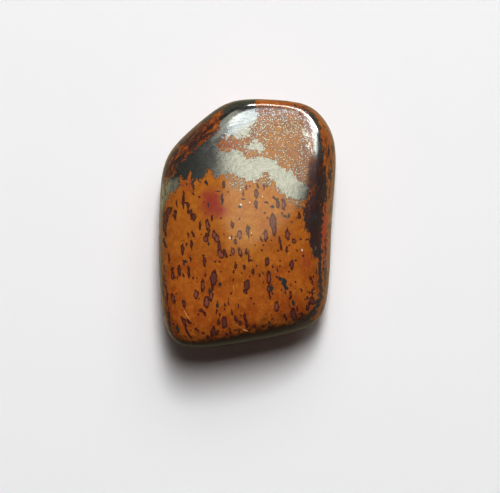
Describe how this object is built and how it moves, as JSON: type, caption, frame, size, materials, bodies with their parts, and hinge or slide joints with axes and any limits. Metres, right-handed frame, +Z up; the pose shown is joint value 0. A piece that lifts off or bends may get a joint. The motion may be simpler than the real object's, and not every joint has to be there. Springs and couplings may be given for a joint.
{
  "type": "tumbled mugglestone",
  "caption": "Flat rounded tumbled pebble of orange jasper crossed by silver-grey hematite, with worn facets, lying on a small flat spot.",
  "frame": {"origin": "under the middle of the stone's outline, on the surface that it rests on", "axes": "+Z up through the flat of the stone, +Y along its length from the broad foot to the narrower head, +X to the right seen from above"},
  "size_m": [0.0178, 0.0248, 0.0109],
  "materials": {
    "polished_stone": "polished by tumbling, orange-brown jasper with dark purple flecks and mirror-like hematite bands"
  },
  "bodies": {
    "root": {"mugglestone": "polished_stone"}
  },
  "joints": []
}
